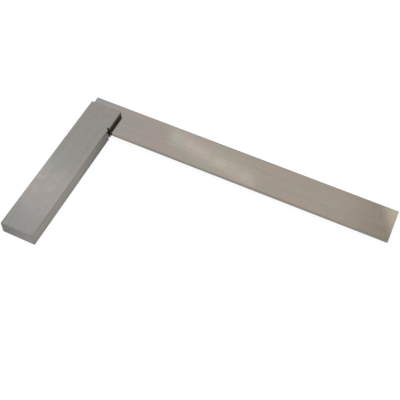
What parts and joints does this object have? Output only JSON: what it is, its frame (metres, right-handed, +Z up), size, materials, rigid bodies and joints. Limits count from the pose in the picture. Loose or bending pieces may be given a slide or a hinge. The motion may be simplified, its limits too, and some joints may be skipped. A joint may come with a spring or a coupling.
{
  "type": "fixed engineer's square",
  "caption": "Fixed engineer's square: a plain flat steel blade set at 90 degrees in the slotted end of a thick rectangular steel stock, with a narrow relief slit cut slantwise into it at the inner corner.",
  "frame": {"origin": "middle of the outline's bounding box, on the plane that the stock's side rests on", "axes": "+X along the blade towards its tip, -Y along the stock towards its free end, +Z up through the thickness"},
  "size_m": [0.335, 0.183, 0.0145],
  "materials": {
    "stock_steel": "satin surface-ground steel",
    "blade_steel": "satin ground steel strip, ground along its length",
    "pin_steel": "ground flush with the stock"
  },
  "bodies": {
    "root": {"stock": "stock_steel", "blade": "blade_steel", "pin_1": "pin_steel", "pin_2": "pin_steel", "pin_3": "pin_steel"}
  },
  "joints": []
}
